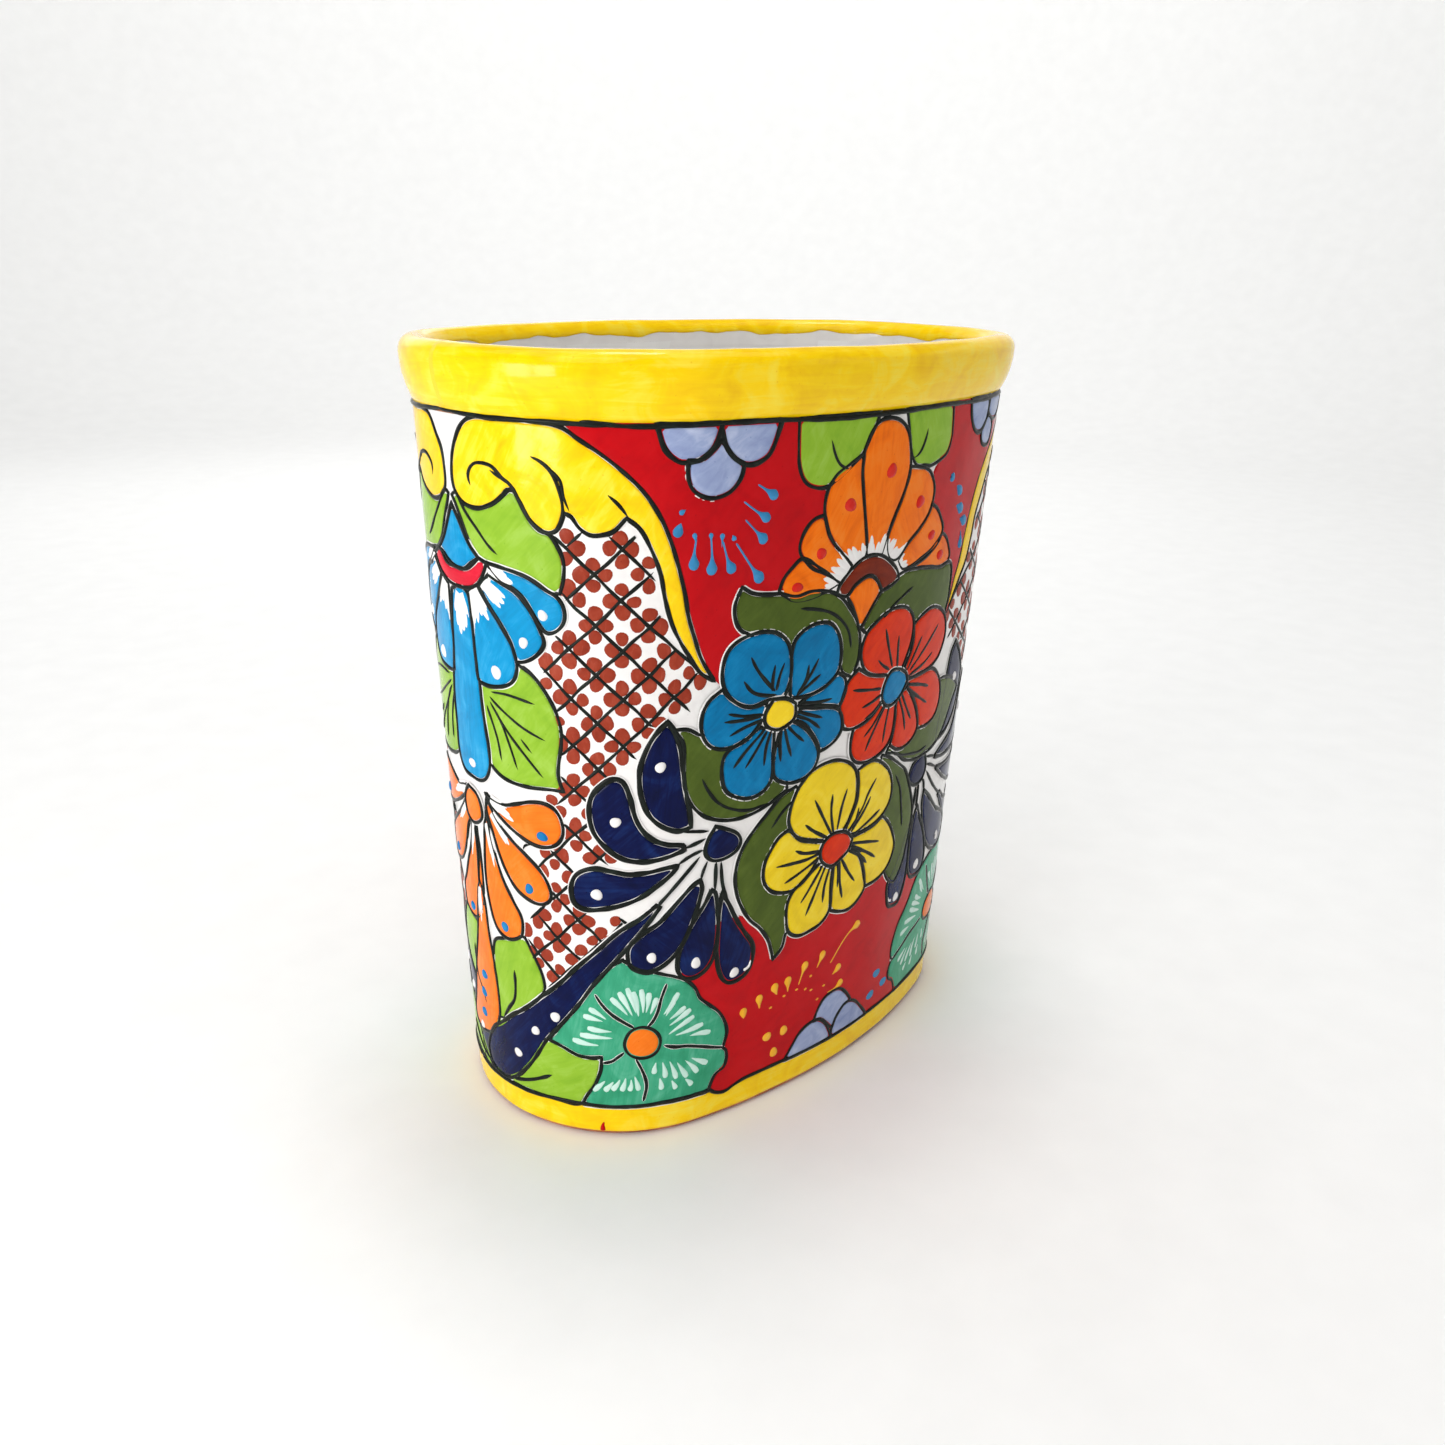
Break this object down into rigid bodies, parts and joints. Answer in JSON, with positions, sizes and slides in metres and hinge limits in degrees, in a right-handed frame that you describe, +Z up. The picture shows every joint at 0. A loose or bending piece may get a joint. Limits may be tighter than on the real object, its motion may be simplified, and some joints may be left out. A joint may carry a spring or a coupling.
{
  "type": "talavera pottery vase",
  "caption": "Tall oval hand-painted talavera earthenware vase: open top with a thick rolled rim, walls tapering to a flat foot, tin-glazed inside and out.",
  "frame": {"origin": "centre of the underside of the foot, on the surface the vase stands on", "axes": "+Z up through the mouth, +X along the long side of the oval, +Y across it; the -Y side is the front panel"},
  "size_m": [0.306, 0.1978, 0.34],
  "materials": {
    "clay": "unglazed fired earthenware",
    "white_glaze": "glossy white tin glaze",
    "yellow_glaze": "glossy yellow glaze",
    "black_enamel": "glossy raised black line",
    "red_enamel": "glossy painted enamel",
    "orange_enamel": "glossy painted enamel",
    "blue_enamel": "glossy painted enamel",
    "teal_enamel": "glossy painted enamel",
    "green_enamel": "glossy painted enamel",
    "lilac_enamel": "glossy painted enamel"
  },
  "bodies": {
    "root": {"clay_wall": "clay", "clay_floor": "clay", "rim_coil": "clay", "white_lining": "white_glaze", "white_ground": "white_glaze", "rim_glaze": "yellow_glaze", "foot_glaze": "yellow_glaze", "upper_line": "black_enamel", "lower_line": "black_enamel"}
  },
  "joints": []
}
